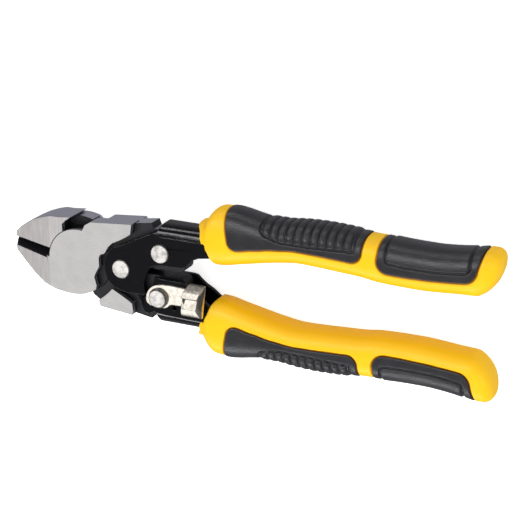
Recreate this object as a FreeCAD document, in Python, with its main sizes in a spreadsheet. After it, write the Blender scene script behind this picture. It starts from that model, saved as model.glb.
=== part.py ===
import FreeCAD, Part
import Sketcher
import math
import os

# Compound-leverage diagonal cutting pliers, closed and latched, lying flat.
# Millimetres.  X runs from the jaws toward the handle ends, Y toward the upper handle,
# Z up out of the front face.  X = 0, Y = 0 is the jaw pivot axis.  Every sub-part is drawn
# about the middle plane of the tool and lifted by half the jaw thickness, so that the back
# of the jaws lies in Z = 0.

Vector = FreeCAD.Vector
os.makedirs("parts", exist_ok=True)
doc = FreeCAD.newDocument("cutting_pliers")

# ---------------------------------------------------------------- driving dimensions
DIMENSIONS = {
    # jaws
    "jaw_half": 7.0,            # half of the ground jaw thickness
    "tail_half": 3.6,           # half of the thickness of the recessed tails
    "lap_gap": 0.03,            # each lap stops this far from the middle plane
    "lap_radius": 14.0,         # round lap of one jaw over the other
    "lap_relief": 14.2,         # radius that the other jaw keeps clear of the lap
    "head_angle": 9.65,         # tilt of the cutting edges, degrees
    "edge_offset": -0.8,        # height of the cutting line at the jaw pivot
    "slit_half": 2.5,           # half of the V between the blades at the jaw faces
    "edge_gap": 0.02,           # each cutting edge stops this far from the cutting line
    "nose_half": 5.7,           # half thickness of the blades near the nose
    "nose_reach": 33.0,         # from pivot to nose along the cutting line
    "spring_relief": 5.5,       # hollow in each tail around the handle pivot
    # pivots
    "hinge_x": 20.5,            # handle pivot
    "link_x": 38.6,             # link pivots
    "link_y": 9.4,
    "jaw_pin_radius": 4.5,
    "jaw_pin_top": 5.0,         # the pin's hole in the front jaw stops below the front face
    "hinge_radius": 2.8,
    "link_radius": 2.6,
    "running_gap": 0.04,        # radial clearance of every turning fit
    "open_pivot_gap": 0.4,      # radial play of the lower link hole in the jaw tail
    "head_radius": 4.1,
    "head_height": 1.15,
    "sleeve_radius": 3.5,
    # handle channels
    "plate_inner": 5.3,
    "plate_outer": 6.9,
    "lower_inner": 3.65,        # inner level of the lower plates at the handle pivot
    "lower_outer": 5.25,
    "spine_outer": 21.5,
    "spine_wall": 1.6,
    "spine_round": 5.0,
    "tang_inner": 16.8,
    "tang_end": 152.0,
    "washer_radius": 5.0,
    "washer_gap": 0.03,
    # return spring
    "wire_radius": 0.6,
    "coil_radius": 4.3,
    "coil_pitch": 1.25,
    "coil_height": 2.5,
    "leg_offset": 0.75,         # each leg lies this far from the gap's middle, on its own tail
    "leg_knee": 30.0,
    "leg_end": 36.2,
    # latch
    "latch_bottom": 7.0,
    "latch_top": 8.1,
    "tab_bottom": 9.2,
    "tab_left": 49.3,
    "tab_right": 60.6,
    "tooth_foot": 10.3,
    "tooth_crest": 11.55,
    "tooth_fall": 0.3,          # each tooth drops this much behind its crest
    "collar_radius": 4.4,
    "collar_height": 1.0,
    "latch_head_radius": 3.95,
    # grips
    "grip_corner": 7.0,
    "grip_half": 9.3,
    "pad_proud": 0.35,
    "pad_depth": 1.6,
    "soft_gap": 0.05,
}

sheet = doc.addObject("Spreadsheet::Sheet", "Sizes")
for row, (alias, value) in enumerate(DIMENSIONS.items(), start=1):
    sheet.set(f"A{row}", alias)
    sheet.set(f"B{row}", str(value))
    sheet.setAlias(f"B{row}", alias)
doc.recompute()


def size(alias):
    return float(sheet.get(alias))


# ---------------------------------------------------------------- building helpers
def lift(thing):
    """Raise a finished sub-part so that the back of the jaws lies in Z = 0."""
    thing.setExpression("Placement.Base.z", "Sizes.jaw_half")


def new_body(label):
    body = doc.addObject("PartDesign::Body", label)
    body.Label = label
    return body


def sketch_on(body, name, role="XY_Plane", level="0"):
    """A sketch on one of the body's own planes, moved along the plane's normal."""
    sketch = body.newObject("Sketcher::SketchObject", name)
    plane = next(f for f in body.Origin.OriginFeatures if f.Role == role)
    sketch.AttachmentSupport = [(plane, "")]
    sketch.MapMode = "FlatFace"
    sketch.setExpression("AttachmentOffset.Base.z", level)
    return sketch


def draw_loop(sketch, steps):
    """Closed outline: an (x, y) step is a straight line, ((mx, my), (x, y)) is an arc."""
    start = steps[0]
    here = start
    for step in list(steps[1:]) + [start]:
        if isinstance(step[0], tuple):
            middle, there = step
            arc = Part.Arc(Vector(*here, 0), Vector(*middle, 0), Vector(*there, 0))
            sketch.addGeometry(arc, False)
        else:
            there = step
            if math.dist(here, there) > 1e-6:
                line = Part.LineSegment(Vector(*here, 0), Vector(*there, 0))
                sketch.addGeometry(line, False)
        here = there


def draw_circle(sketch, x_name, y_name, radius):
    """Circle whose centre and radius follow expressions in the sheet."""
    index = sketch.addGeometry(Part.Circle(Vector(1, 1, 0), Vector(0, 0, 1), 2.0), False)
    for kind, expression in (("DistanceX", x_name), ("DistanceY", y_name)):
        if expression == "0":
            other = "Y" if kind == "DistanceX" else "X"
            target = -2 if other == "Y" else -1
            sketch.addConstraint(Sketcher.Constraint("PointOnObject", index, 3, target))
            continue
        place = Sketcher.Constraint(kind, -1, 1, index, 3, 1.0)
        number = sketch.addConstraint(place)
        sketch.setExpression(f"Constraints[{number}]", expression)
    number = sketch.addConstraint(Sketcher.Constraint("Radius", index, 2.0))
    sketch.setExpression(f"Constraints[{number}]", radius)


def pad(body, sketch, length, both_ways=False):
    feature = body.newObject("PartDesign::Pad", sketch.Name + "_pad")
    feature.Profile = sketch
    if both_ways:
        feature.SideType = "Symmetric"
    feature.setExpression("Length", length)
    sketch.Visibility = False
    return feature


def pocket(body, sketch, length, both_ways=False, reverse=False):
    feature = body.newObject("PartDesign::Pocket", sketch.Name + "_cut")
    feature.Profile = sketch
    if both_ways:
        feature.SideType = "Symmetric"
    feature.Reversed = reverse
    feature.setExpression("Length", length)
    return feature


def slab(body, name, steps, low, high):
    """Pad a flat outline between two levels given as expressions."""
    sketch = sketch_on(body, name, level=low)
    draw_loop(sketch, steps)
    return pad(body, sketch, f"({high}) - ({low})")


def slot_out(body, name, steps, low, high):
    """Remove a flat outline between two levels given as expressions."""
    sketch = sketch_on(body, name, level=low)
    draw_loop(sketch, steps)
    return pocket(body, sketch, f"({high}) - ({low})", reverse=True)


def blind_bore(body, name, x_name, y_name, radius, top):
    """Round hole from below the back face up to a level."""
    bottom = "-Sizes.jaw_half - 1"
    sketch = sketch_on(body, name, level=bottom)
    draw_circle(sketch, x_name, y_name, radius)
    return pocket(body, sketch, f"({top}) - ({bottom})", reverse=True)


def bore(body, name, x_name, y_name, radius):
    """Round hole right through, parallel to the pivots."""
    sketch = sketch_on(body, name)
    draw_circle(sketch, x_name, y_name, radius)
    return pocket(body, sketch, "4 * Sizes.jaw_half", both_ways=True)


def disc(body, name, x_name, y_name, radius, low, high):
    sketch = sketch_on(body, name, level=low)
    draw_circle(sketch, x_name, y_name, radius)
    return pad(body, sketch, f"({high}) - ({low})")


def flipped(steps, side):
    """The outline as drawn for side +1, mirrored in the X axis for side -1."""
    result = []
    for step in steps:
        if isinstance(step[0], tuple):
            (mx, my), (x, y) = step
            result.append(((mx, side * my), (x, side * y)))
        else:
            result.append((step[0], side * step[1]))
    return result


def mirror_step(step, side):
    """One step of a section outline, its first coordinate mirrored for side -1."""
    if isinstance(step[0], tuple):
        (my, mz), (y, z) = step
        return ((side * my, mz), (side * y, z))
    return (side * step[0], step[1])


def polar(radius, degrees):
    angle = math.radians(degrees)
    return (radius * math.cos(angle), radius * math.sin(angle))


def from_head(along, across):
    """Point given along and across the cutting line, measured from the jaw pivot."""
    angle = math.radians(size("head_angle"))
    x = -along * math.cos(angle) + across * math.sin(angle)
    y = size("edge_offset") + along * math.sin(angle) + across * math.cos(angle)
    return (x, y)


# ---------------------------------------------------------------- jaws
UPPER_BLADE = [(31.9, 2.4), (31.6, 4.4), (29.8, 7.0), (26.6, 10.2), (23.0, 12.9), (19.4, 15.0),
               (15.9, 16.6)]
LOWER_BLADE = [(31.6, -2.2), (29.8, -4.3), (25.5, -7.4), (19.8, -11.3), (14.6, -13.9)]


def blade_outline(side):
    """Full-thickness blade outside the lap of the other jaw."""
    relief = size("lap_relief")
    outline = [from_head(relief + 0.05, 0.0), from_head(size("nose_reach"), 0.0)]
    if side > 0:
        outline += [from_head(*point) for point in UPPER_BLADE]
        outline += [(-9.4, 18.2), (-3.4, 18.9), (-5.9, 17.0), (-7.4, 15.4)]
        outline += [polar(relief, 121.0), (polar(relief, 145.0), polar(relief, 168.5))]
    else:
        outline += [from_head(*point) for point in LOWER_BLADE]
        outline += [(-11.5, -13.9), (-8.9, -14.4)]
        outline += [polar(relief, -123.0), (polar(relief, -150.0), polar(relief, -184.5))]
    return outline


def root_outline(side):
    """Joins the half-thickness lap to the jaw's own blade."""
    if side > 0:
        return [polar(9.0, 165.0), polar(15.2, 168.0), polar(15.6, 145.0), polar(15.6, 124.0),
                polar(9.0, 120.0)]
    return [polar(9.0, -165.0), polar(15.2, -182.0), polar(15.6, -150.0), polar(15.8, -126.0),
            polar(9.0, -120.0)]


TAIL = [polar(14.35, 57.0), (9.9, 15.7), (10.3, 18.2), (25.4, 19.7), (33.0, 20.9),
        (34.0, 18.5), (46.0, 18.2), ((47.6, 17.6), (48.2, 16.0))]
TAIL_ROOT = [(14.7, 1.4), polar(14.25, 5.6), (polar(14.25, 31.0), polar(14.35, 57.0))]
NEAR_SHOULDER = [(2.0, 11.0), (1.8, 13.4), (3.3, 16.4), (6.1, 18.2), (25.4, 20.0), (26.2, 16.0),
                 (14.0, 4.0)]
FAR_SHOULDER = [polar(18.3, 58.5), (10.3, 18.2), (25.4, 19.7), (25.9, 17.8), (25.4, 14.7),
                (23.6, 13.5), (19.8, 11.5), (16.0, 9.6), (polar(18.3, 42.0), polar(18.3, 58.5))]
RECESS = [(8.4, 12.0), (8.4, 10.7), (8.7, 9.5), (7.6, 5.7), (8.6, 3.3), (10.0, 0.8), (9.9, -3.1),
          (10.6, -4.6), (12.5, -5.3), (14.5, -8.7), (16.4, -10.5), (20.1, -12.4), (22.5, -13.9),
          (24.8, -15.5), (25.6, -21.5), (60.0, -21.5), (60.0, 12.0)]


def tail_outline(side, end_drop):
    """Recessed tail; the lower one reaches further in at its end."""
    hollow = size("spring_relief")
    centre = size("hinge_x")
    reach = math.sqrt(hollow**2 - 1.4**2)
    outline = list(TAIL)
    outline += [(48.6, end_drop + 3.0), ((47.8, end_drop + 0.9), (45.8, end_drop))]
    outline += [(41.0, end_drop), (39.5, 1.4), (centre + reach, 1.4)]
    outline += [((centre, hollow), (centre - reach, 1.4))]
    outline += TAIL_ROOT
    return flipped(outline, side)


def beyond_nose(body, name):
    """A sketch square to the cutting line, 40 mm from the jaw pivot, facing back to it."""
    sketch = sketch_on(body, name, "YZ_Plane", "-40 * cos(Sizes.head_angle)")
    turn = FreeCAD.Rotation(Vector(0, 1, 0), -size("head_angle"))
    sketch.AttachmentOffset = FreeCAD.Placement(Vector(0, 0, 0), turn)
    rise = "Sizes.edge_offset + 40 * sin(Sizes.head_angle)"
    sketch.setExpression("AttachmentOffset.Base.x", rise)
    return sketch


def trim_blade(body, side):
    """Thin the blade toward its nose and bevel it down to the cutting edge."""
    jaw = size("jaw_half")
    nose = size("nose_half")
    profile = sketch_on(body, body.Label + "_nose", "XZ_Plane")
    tip = -size("nose_reach") - 0.2
    steps = [(-13.9, jaw), (-30.6, nose), (tip + 0.6, 1.2), (tip + 0.6, -1.2), (-30.6, -nose),
             (-13.9, -jaw), (-13.9, -jaw - 1), (-40.0, -jaw - 1), (-40.0, jaw + 1),
             (-13.9, jaw + 1)]
    draw_loop(profile, steps)
    pocket(body, profile, "80", both_ways=True)
    bevel = beyond_nose(body, body.Label + "_bevel")
    open_edge = side * size("slit_half")
    far = -side * 12
    steps = [(side * size("edge_gap"), 0.0), (open_edge, jaw + 0.2), (far, jaw + 0.2),
             (far, -jaw - 0.2), (open_edge, -jaw - 0.2)]
    draw_loop(bevel, steps)
    pocket(body, bevel, "40 - Sizes.lap_relief + 0.3", reverse=True)


UPPER_FLOOR = [polar(9.0, 130.0), (-9.6, 15.4), (-6.8, 17.6), ((-1.9, 17.9), (3.4, 17.0)),
               (4.9, 15.6), (4.0, 9.0)]
LOWER_FLOOR = [polar(9.0, -120.0), (-10.5, -13.0), (-8.9, -14.4), (-6.7, -14.6),
               ((-1.8, -14.8), (3.5, -13.8)), (8.4, -10.9), (4.0, -8.0)]


def build_jaw(label, side, level_sign, pin_radius, link_radius, end_drop):
    """One jaw.  Its blade is on one side of the cutting line, its tail on the other."""
    body = new_body(label)
    tail_side = -side
    low = "-Sizes.jaw_half" if level_sign < 0 else "Sizes.lap_gap"
    high = "-Sizes.lap_gap" if level_sign < 0 else "Sizes.jaw_half"
    link_y = "Sizes.link_y" if tail_side > 0 else "-Sizes.link_y"
    slab(body, label + "_blade", blade_outline(side), "-Sizes.jaw_half", "Sizes.jaw_half")
    trim_blade(body, side)
    disc(body, label + "_lap", "0", "0", "Sizes.lap_radius", low, high)
    slab(body, label + "_root", root_outline(side), low, high)
    slab(body, label + "_shoulder", flipped(NEAR_SHOULDER, tail_side), low, high)
    floor = UPPER_FLOOR if side > 0 else LOWER_FLOOR
    slab(body, label + "_floor", floor, low, high)
    recess = flipped(RECESS, -tail_side)
    if level_sign > 0:
        slot_out(body, label + "_recess", recess, "Sizes.tail_half", "Sizes.jaw_half + 1")
    else:
        slot_out(body, label + "_recess", recess, "-Sizes.jaw_half - 1", "-Sizes.tail_half")
    slab(body, label + "_tail", tail_outline(tail_side, end_drop), "-Sizes.tail_half",
         "Sizes.tail_half")
    far = flipped(FAR_SHOULDER, tail_side)
    if level_sign > 0:
        slab(body, label + "_far", far, "-Sizes.jaw_half", "-Sizes.tail_half + 0.5")
    else:
        slab(body, label + "_far", far, "Sizes.tail_half - 0.5", "Sizes.jaw_half")
    if level_sign > 0:
        blind_bore(body, label + "_pin_hole", "0", "0", pin_radius, "Sizes.jaw_pin_top")
    else:
        bore(body, label + "_pin_hole", "0", "0", pin_radius)
    bore(body, label + "_link_hole", "Sizes.link_x", link_y, link_radius)
    lift(body)
    return body


# ---------------------------------------------------------------- handle channels
UPPER_LOBE = [(12.9, 2.0), ((12.6, -2.0), (15.9, -7.7)), ((20.0, -9.8), (24.8, -10.2)),
              (31.8, -9.8), (30.7, -5.3), (31.4, -2.5), (32.6, 0.7), (33.6, 2.3), (35.4, 3.4),
              (38.9, 4.1), (48.0, 4.4), (49.8, 5.0), (51.6, 6.9), (53.4, 8.7), (55.7, 9.8),
              (60.6, 10.6), (64.0, 13.2), (70.0, 16.8)]
UPPER_EDGE = [(38.2, 21.5), (36.6, 18.3), (33.4, 17.0), (27.9, 14.2), (22.7, 11.4), (17.1, 8.8),
              (14.3, 5.9)]
LOWER_EDGE = [(31.25, -17.1), (33.2, -17.9), (34.8, -17.0), (36.0, -15.9), (36.8, -17.4),
              (38.0, -21.0)]
LOWER_RIM = [(64.0, -13.2), (60.6, -10.0), (57.1, -7.3), (53.6, -5.4), (51.2, -3.6), (49.6, -2.1),
             (48.0, -1.75), (38.8, -1.7)]


def round_spine(body, side):
    """Bend radius along both outer edges of the channel."""
    doc.recompute()
    level = side * size("spine_outer")
    half = size("plate_outer")
    edges = []
    for number, edge in enumerate(body.Shape.Edges, start=1):
        box = edge.BoundBox
        on_spine = abs(box.YMin - level) < 0.01 and abs(box.YMax - level) < 0.01
        on_face = abs(abs(box.ZMin) - half) < 0.01 and box.ZLength < 0.01
        if on_spine and on_face and box.XLength > 50:
            edges.append(f"Edge{number}")
    channel = body.Tip
    fillet = body.newObject("PartDesign::Fillet", body.Label + "_bend")
    fillet.Base = (channel, edges)
    fillet.setExpression("Radius", "Sizes.spine_round")


def hollow_out(body, side):
    """Open the inside of the channel; its corners follow the bends of the spine."""
    half = size("plate_inner")
    floor = size("spine_outer") - size("spine_wall")
    corner = size("spine_round") - size("spine_wall")
    turn = corner * (1 - math.sqrt(0.5))
    steps = [(-15.0, -half), (floor - corner, -half), ((floor - turn, -half + turn),
             (floor, -half + corner)), (floor, half - corner), ((floor - turn, half - turn),
             (floor - corner, half)), (-15.0, half)]
    inside = sketch_on(body, body.Label + "_inside", "YZ_Plane", "5")
    draw_loop(inside, [mirror_step(step, side) for step in steps])
    pocket(body, inside, "Sizes.tang_end", reverse=True)


def upper_channel():
    body = new_body("upper_handle_channel")
    top = size("spine_outer")
    end = size("tang_end")
    outline = UPPER_LOBE + [(end, size("tang_inner")), (end, top)] + UPPER_EDGE
    slab(body, "upper_plates", outline, "-Sizes.plate_outer", "Sizes.plate_outer")
    hollow_out(body, 1)
    round_spine(body, 1)
    bore(body, "upper_hinge_hole", "Sizes.hinge_x", "0", "Sizes.hinge_radius")
    bore(body, "upper_link_hole", "Sizes.link_x", "Sizes.link_y", "Sizes.link_radius")
    lift(body)
    return body


def lower_channel():
    body = new_body("lower_handle_channel")
    top = size("spine_outer")
    end = size("tang_end")
    hinge = size("hinge_x")
    sweep = 15.35
    near_rim = (hinge + sweep * math.cos(math.radians(4.5)), -sweep * math.sin(math.radians(4.5)))
    corner = (31.25, -math.sqrt(sweep**2 - (31.25 - hinge)**2))
    middle = (hinge + sweep * math.cos(math.radians(24.0)),
              -sweep * math.sin(math.radians(24.0)))
    outline = LOWER_EDGE + [(38.6, -top), (end, -top), (end, -size("tang_inner"))]
    outline += [(70.0, -size("tang_inner"))] + LOWER_RIM + [near_rim, (middle, corner)]
    slab(body, "lower_plates", outline, "-Sizes.plate_outer", "Sizes.plate_outer")
    hollow_out(body, -1)
    round_spine(body, -1)
    lobe = [(hinge + 8.7, -0.5), ((hinge, 8.7), (hinge - 8.6, -1.2)), ((hinge - 5.6, -6.6),
            (hinge - 0.6, -8.8)), (26.9, -9.9), (27.3, -11.1), (29.5, -14.8), (30.4, -16.4),
            (30.4, -10.9)]
    ramp = [(28.8, size("lower_inner")), (30.9, size("lower_inner")), (33.6, size("plate_inner")),
            (33.6, size("plate_outer")), (31.2, size("plate_outer")), (28.8, size("lower_outer"))]
    for name, sign in (("front", 1), ("back", -1)):
        low = "Sizes.lower_inner" if sign > 0 else "-Sizes.lower_outer"
        high = "Sizes.lower_outer" if sign > 0 else "-Sizes.lower_inner"
        slab(body, f"lower_lobe_{name}", lobe, low, high)
        step = sketch_on(body, f"lower_joggle_{name}", "XZ_Plane", "10.95")
        draw_loop(step, [(x, sign * z) for x, z in ramp])
        pad(body, step, "6.9")
    corner_off = [(22.0, -11.1), (27.3, -11.1), (29.5, -14.8), (31.25, -17.1), (33.2, -17.9),
                  (33.4, -24.0), (22.0, -24.0)]
    slot_out(body, "lower_corner", corner_off, "-Sizes.jaw_half - 1", "Sizes.jaw_half + 1")
    turning = "Sizes.hinge_radius + Sizes.running_gap"
    bore(body, "lower_hinge_hole", "Sizes.hinge_x", "0", turning)
    bore(body, "lower_link_hole", "Sizes.link_x", "-Sizes.link_y", "Sizes.link_radius")
    detent = sketch_on(body, "detent_hole", level="0")
    draw_circle(detent, "Sizes.link_x + 6.4", "-Sizes.link_y - 3.9", "1.0")
    pocket(body, detent, "Sizes.jaw_half + 1", reverse=True)
    lift(body)
    return body


# ---------------------------------------------------------------- pins, rivets and washers
def turned(label, x_name, y_name, steps):
    """Stack of coaxial discs: each step is (name, radius, low, high) as expressions."""
    body = new_body(label)
    for name, radius, low, high in steps:
        disc(body, f"{label}_{name}", x_name, y_name, radius, low, high)
    lift(body)
    return body


def ring(label, x_name, y_name, outer, inner, levels):
    """Flat rings on one axis, one for each pair of levels; separate solids of one node."""
    cuts = []
    for number, (low, high) in enumerate(levels):
        body = new_body(f"{label}_{number}_blank")
        disc(body, f"{label}_{number}", x_name, y_name, outer, low, high)
        bore(body, f"{label}_{number}_hole", x_name, y_name, inner)
        cuts.append(body)
    if len(cuts) == 1:
        cuts[0].Label = label
        lift(cuts[0])
        return cuts[0]
    group = doc.addObject("Part::Compound", label)
    group.Links = cuts
    group.Label = label
    lift(group)
    return group


def rivets_and_washers():
    top = "Sizes.plate_outer"
    head = "Sizes.plate_outer + Sizes.head_height"
    made = []
    # the jaw pin is ground flush with the back face and hidden under the front one
    made.append(turned("jaw_pivot_pin", "0", "0", [
        ("shank", "Sizes.jaw_pin_radius", "-Sizes.jaw_half", "Sizes.jaw_pin_top")]))
    for label, x_name, y_name, radius in (
            ("handle_pivot_rivet", "Sizes.hinge_x", "0", "Sizes.hinge_radius"),
            ("upper_link_rivet", "Sizes.link_x", "Sizes.link_y", "Sizes.link_radius")):
        made.append(turned(label, x_name, y_name, [
            ("shank", radius, f"-({head})", head),
            ("front_head", "Sizes.head_radius", top, head),
            ("back_head", "Sizes.head_radius", f"-({head})", f"-({top})")]))
    collar = "Sizes.latch_top + 0.05"
    cap = f"{collar} + Sizes.collar_height"
    made.append(turned("lower_link_rivet", "Sizes.link_x", "-Sizes.link_y", [
        ("shank", "Sizes.link_radius", f"-({head})", f"{cap} + Sizes.head_height"),
        ("front_head", "Sizes.latch_head_radius", cap, f"{cap} + Sizes.head_height"),
        ("back_head", "Sizes.head_radius", f"-({head})", f"-({top})")]))
    made.append(ring("latch_collar", "Sizes.link_x", "-Sizes.link_y", "Sizes.collar_radius",
                     "Sizes.link_radius", [(collar, cap)]))
    inner = "Sizes.lower_inner - Sizes.washer_gap"
    made.append(ring("handle_pivot_sleeve", "Sizes.hinge_x", "0", "Sizes.sleeve_radius",
                     "Sizes.hinge_radius", [(f"-({inner})", inner)]))
    low = "Sizes.tail_half + Sizes.washer_gap"
    high = "Sizes.plate_inner - Sizes.washer_gap"
    pair = [(low, high), (f"-({high})", f"-({low})")]
    made.append(ring("upper_link_washers", "Sizes.link_x", "Sizes.link_y",
                     "Sizes.washer_radius", "Sizes.link_radius", pair))
    made.append(ring("lower_link_washers", "Sizes.link_x", "-Sizes.link_y",
                     "Sizes.washer_radius", "Sizes.link_radius", pair))
    return made


# ---------------------------------------------------------------- return spring
def rod(name, start, finish, radius):
    """Straight round wire between two points, with a ball at its far end."""
    along = Vector(*finish) - Vector(*start)
    wire = doc.addObject("Part::Cylinder", name)
    wire.setExpression("Radius", radius)
    wire.Height = along.Length
    wire.Placement = FreeCAD.Placement(Vector(*start), FreeCAD.Rotation(Vector(0, 0, 1), along))
    ball = doc.addObject("Part::Sphere", name + "_end")
    ball.setExpression("Radius", radius)
    ball.Placement.Base = Vector(*finish)
    return [wire, ball]


def return_spring():
    """Torsion coil around the handle pivot; its legs lie between the two jaw tails."""
    helix = doc.addObject("Part::Helix", "spring_helix")
    helix.setExpression("Radius", "Sizes.coil_radius")
    helix.setExpression("Pitch", "Sizes.coil_pitch")
    helix.setExpression("Height", "Sizes.coil_height")
    half = size("coil_height") / 2
    hinge = size("hinge_x")
    coil = size("coil_radius")
    section = doc.addObject("Part::Circle", "spring_section")
    section.setExpression("Radius", "Sizes.wire_radius")
    section.Placement = FreeCAD.Placement(Vector(coil, 0, 0),
                                          FreeCAD.Rotation(Vector(1, 0, 0), 90))
    sweep = doc.addObject("Part::Sweep", "spring_coil")
    sweep.Sections = [section]
    sweep.Spine = (helix, ["Edge1"])
    sweep.Solid = True
    sweep.Frenet = True
    sweep.Placement.Base = Vector(hinge, 0, -half)
    pieces = [sweep]
    for name, level, side in (("upper_leg", half, 1), ("lower_leg", -half, -1)):
        root = (hinge + coil, 0.0, level)
        knee = (size("leg_knee"), side * size("leg_offset"), level)
        foot = (size("leg_end"), side * size("leg_offset"), level)
        ball = doc.addObject("Part::Sphere", name + "_root")
        ball.setExpression("Radius", "Sizes.wire_radius")
        ball.Placement.Base = Vector(*root)
        pieces.append(ball)
        pieces += rod(name + "_inner", root, knee, "Sizes.wire_radius")
        pieces += rod(name + "_outer", knee, foot, "Sizes.wire_radius")
    spring = doc.addObject("Part::MultiFuse", "return_spring")
    spring.Shapes = pieces
    spring.Label = "return_spring"
    lift(spring)
    return spring


# ---------------------------------------------------------------- latch
# outline of the plate, then the shapes cut away from both ends of the thumb tab
LATCH = [(33.1, -12.7), (32.3, -10.5), ((33.9, -6.7), (37.2, -4.1)), (43.7, -3.3), (51.0, -3.3),
         (51.0, -11.5), (43.7, -11.9), (41.4, -13.8), (36.3, -13.8)]
TAB_LEFT = [(49.0, 1.0), (53.1, 1.0), (53.1, -0.4), (50.6, -5.0), (50.2, -7.5), (50.2, -16.0),
            (49.0, -16.0)]
TAB_RIGHT = [(62.0, 1.0), (60.4, 1.0), (60.4, -0.8), (58.4, -4.0), (57.1, -7.0), (56.7, -10.0),
             (57.3, -12.5), (59.5, -14.4), (59.5, -16.0), (62.0, -16.0)]


def latch():
    """Pivoting latch: flat plate, riser and a thumb tab with two saw teeth."""
    body = new_body("latch")
    low = size("tab_bottom")
    foot = size("tooth_foot")
    crest = size("tooth_crest")
    land = crest - size("tooth_fall")
    teeth = sketch_on(body, "latch_teeth", "YZ_Plane", "Sizes.tab_left")
    draw_loop(teeth, [(-0.3, low), (-0.3, foot), (-4.1, crest), (-6.7, land), (-7.1, foot),
                      (-11.3, crest), (-13.9, land), (-14.4, foot), (-14.4, low)])
    pad(body, teeth, "Sizes.tab_right - Sizes.tab_left")
    slot_out(body, "latch_left_edge", TAB_LEFT, "Sizes.tab_bottom - 1", "Sizes.tooth_crest + 1")
    slot_out(body, "latch_right_edge", TAB_RIGHT, "Sizes.tab_bottom - 1",
             "Sizes.tooth_crest + 1")
    riser = [(50.2, -13.9), (51.4, -13.9), (51.4, -6.6), (50.2, -6.6)]
    slab(body, "latch_riser", riser, "Sizes.latch_bottom", "Sizes.tab_bottom + 0.5")
    slab(body, "latch_plate", LATCH, "Sizes.latch_bottom", "Sizes.latch_top")
    bore(body, "latch_hole", "Sizes.link_x", "-Sizes.link_y",
         "Sizes.link_radius + Sizes.running_gap")
    lift(body)
    return body


# ---------------------------------------------------------------- grips
# stations along the grip: x, inner y, outer y, half thickness
STATIONS = [(54.0, 7.4, 23.4, 8.4), (60.0, 7.2, 28.8, 9.1), (69.0, 8.0, 32.0, 9.3),
            (80.0, 10.0, 30.4, 9.3), (92.0, 12.4, 29.5, 9.3), (107.0, 13.2, 30.5, 9.3),
            (124.0, 12.2, 29.7, 9.3), (143.0, 10.6, 28.7, 9.3), (160.0, 11.2, 28.8, 9.3),
            (172.0, 12.4, 30.2, 9.3), (177.6, 14.8, 31.2, 8.6), (180.6, 18.4, 30.2, 6.6)]


def rounded_section(sketch, low, high, half, corner):
    """Rounded rectangle: low to high across, half to each side of the middle plane."""
    turn = corner * (1 - math.sqrt(0.5))
    steps = [(low + corner, -half), (high - corner, -half),
             ((high - turn, -half + turn), (high, -half + corner)), (high, half - corner),
             ((high - turn, half - turn), (high - corner, half)), (low + corner, half),
             ((low + turn, half - turn), (low, half - corner)), (low, -half + corner),
             ((low + turn, -half + turn), (low + corner, -half))]
    draw_loop(sketch, steps)


def grip_solid(name, inset):
    """Skin of the grip moved inward by inset (outward when negative)."""
    body = new_body(name)
    sections = []
    for number, (x, low, high, half) in enumerate(STATIONS):
        end = inset if number == len(STATIONS) - 1 else 0.0
        sketch = sketch_on(body, f"{name}_section_{number}", "YZ_Plane", str(x - end))
        corner = min(size("grip_corner") - max(inset, 0.0), half - inset - 0.4)
        rounded_section(sketch, low + inset, high - inset, half - inset, corner - 1e-3)
        sections.append(sketch)
    loft = body.newObject("PartDesign::AdditiveLoft", name + "_loft")
    loft.Profile = sections[0]
    loft.Sections = sections[1:]
    loft.Ruled = False
    return body


def prism(name, steps):
    """Outline carried right through the grip thickness."""
    body = new_body(name)
    slab(body, name + "_outline", steps, "-2 * Sizes.jaw_half", "2 * Sizes.jaw_half")
    return body


def combine(kind, name, first, second):
    """Boolean of two shapes: Part::Cut or Part::Common."""
    result = doc.addObject(kind, name)
    result.Base = first
    result.Tool = second
    return result


def front_pad_outline(out):
    """Pad behind the collar; out widens it for the pocket in the grip."""
    return [(67.2 - out, 40.0), (67.0 - out, 21.0), (68.0 - out, 17.4 - out),
            ((69.0 - out / 2, 15.9 - out), (71.5, 15.2 - out)), (81.0, 16.6 - out),
            ((100.0, 19.1 - out), (118.0, 18.3 - out)), ((122.0 + out, 18.9 - out),
            (124.6 + out, 22.0)), (127.0 + out, 27.5), (131.0 + out, 33.0), (131.0 + out, 40.0)]


def rear_pad_outline(out):
    """Pad under the palm."""
    return [(137.5 - out, 40.0), (137.5 - out, 33.5), (133.2 - out, 28.0), (131.9 - out, 23.2),
            ((132.6 - out, 18.4 - out), (137.7, 16.4 - out)), (154.0, 16.2 - out),
            (166.8, 17.6 - out), ((169.9 + out, 18.7 - out), (171.1 + out, 22.7)),
            (172.6 + out, 28.5), (176.0 + out, 34.0), (176.0 + out, 40.0)]


MOUTH = [(50.0, 40.0), (56.0, 40.0), (55.2, 24.6), (55.4, 18.9), (56.6, 16.8), (58.4, 15.2),
         (59.5, 13.2), (60.4, 9.9), (61.3, 8.4), (63.6, 7.6), (64.0, 0.0), (50.0, 0.0)]


def tang_space():
    """Room inside the grip for the channel, a little larger than the channel."""
    gap = size("soft_gap")
    top = size("spine_outer") + gap
    end = size("tang_end") + gap
    body = new_body("tang_space")
    outline = [(50.0, 4.0), (57.0, 7.1 - gap), (60.6, 9.8 - gap), (64.0, 13.0 - gap),
               (70.0, 16.8 - gap), (end, 16.8 - gap), (end, top), (50.0, top)]
    slab(body, "tang_outline", outline, "-Sizes.plate_outer - Sizes.soft_gap",
         "Sizes.plate_outer + Sizes.soft_gap")
    return body


def mirrored(source, label):
    copy = doc.addObject("Part::Mirroring", label)
    copy.Source = source
    copy.Normal = (0, 1, 0)
    copy.Label = label
    return copy


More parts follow.
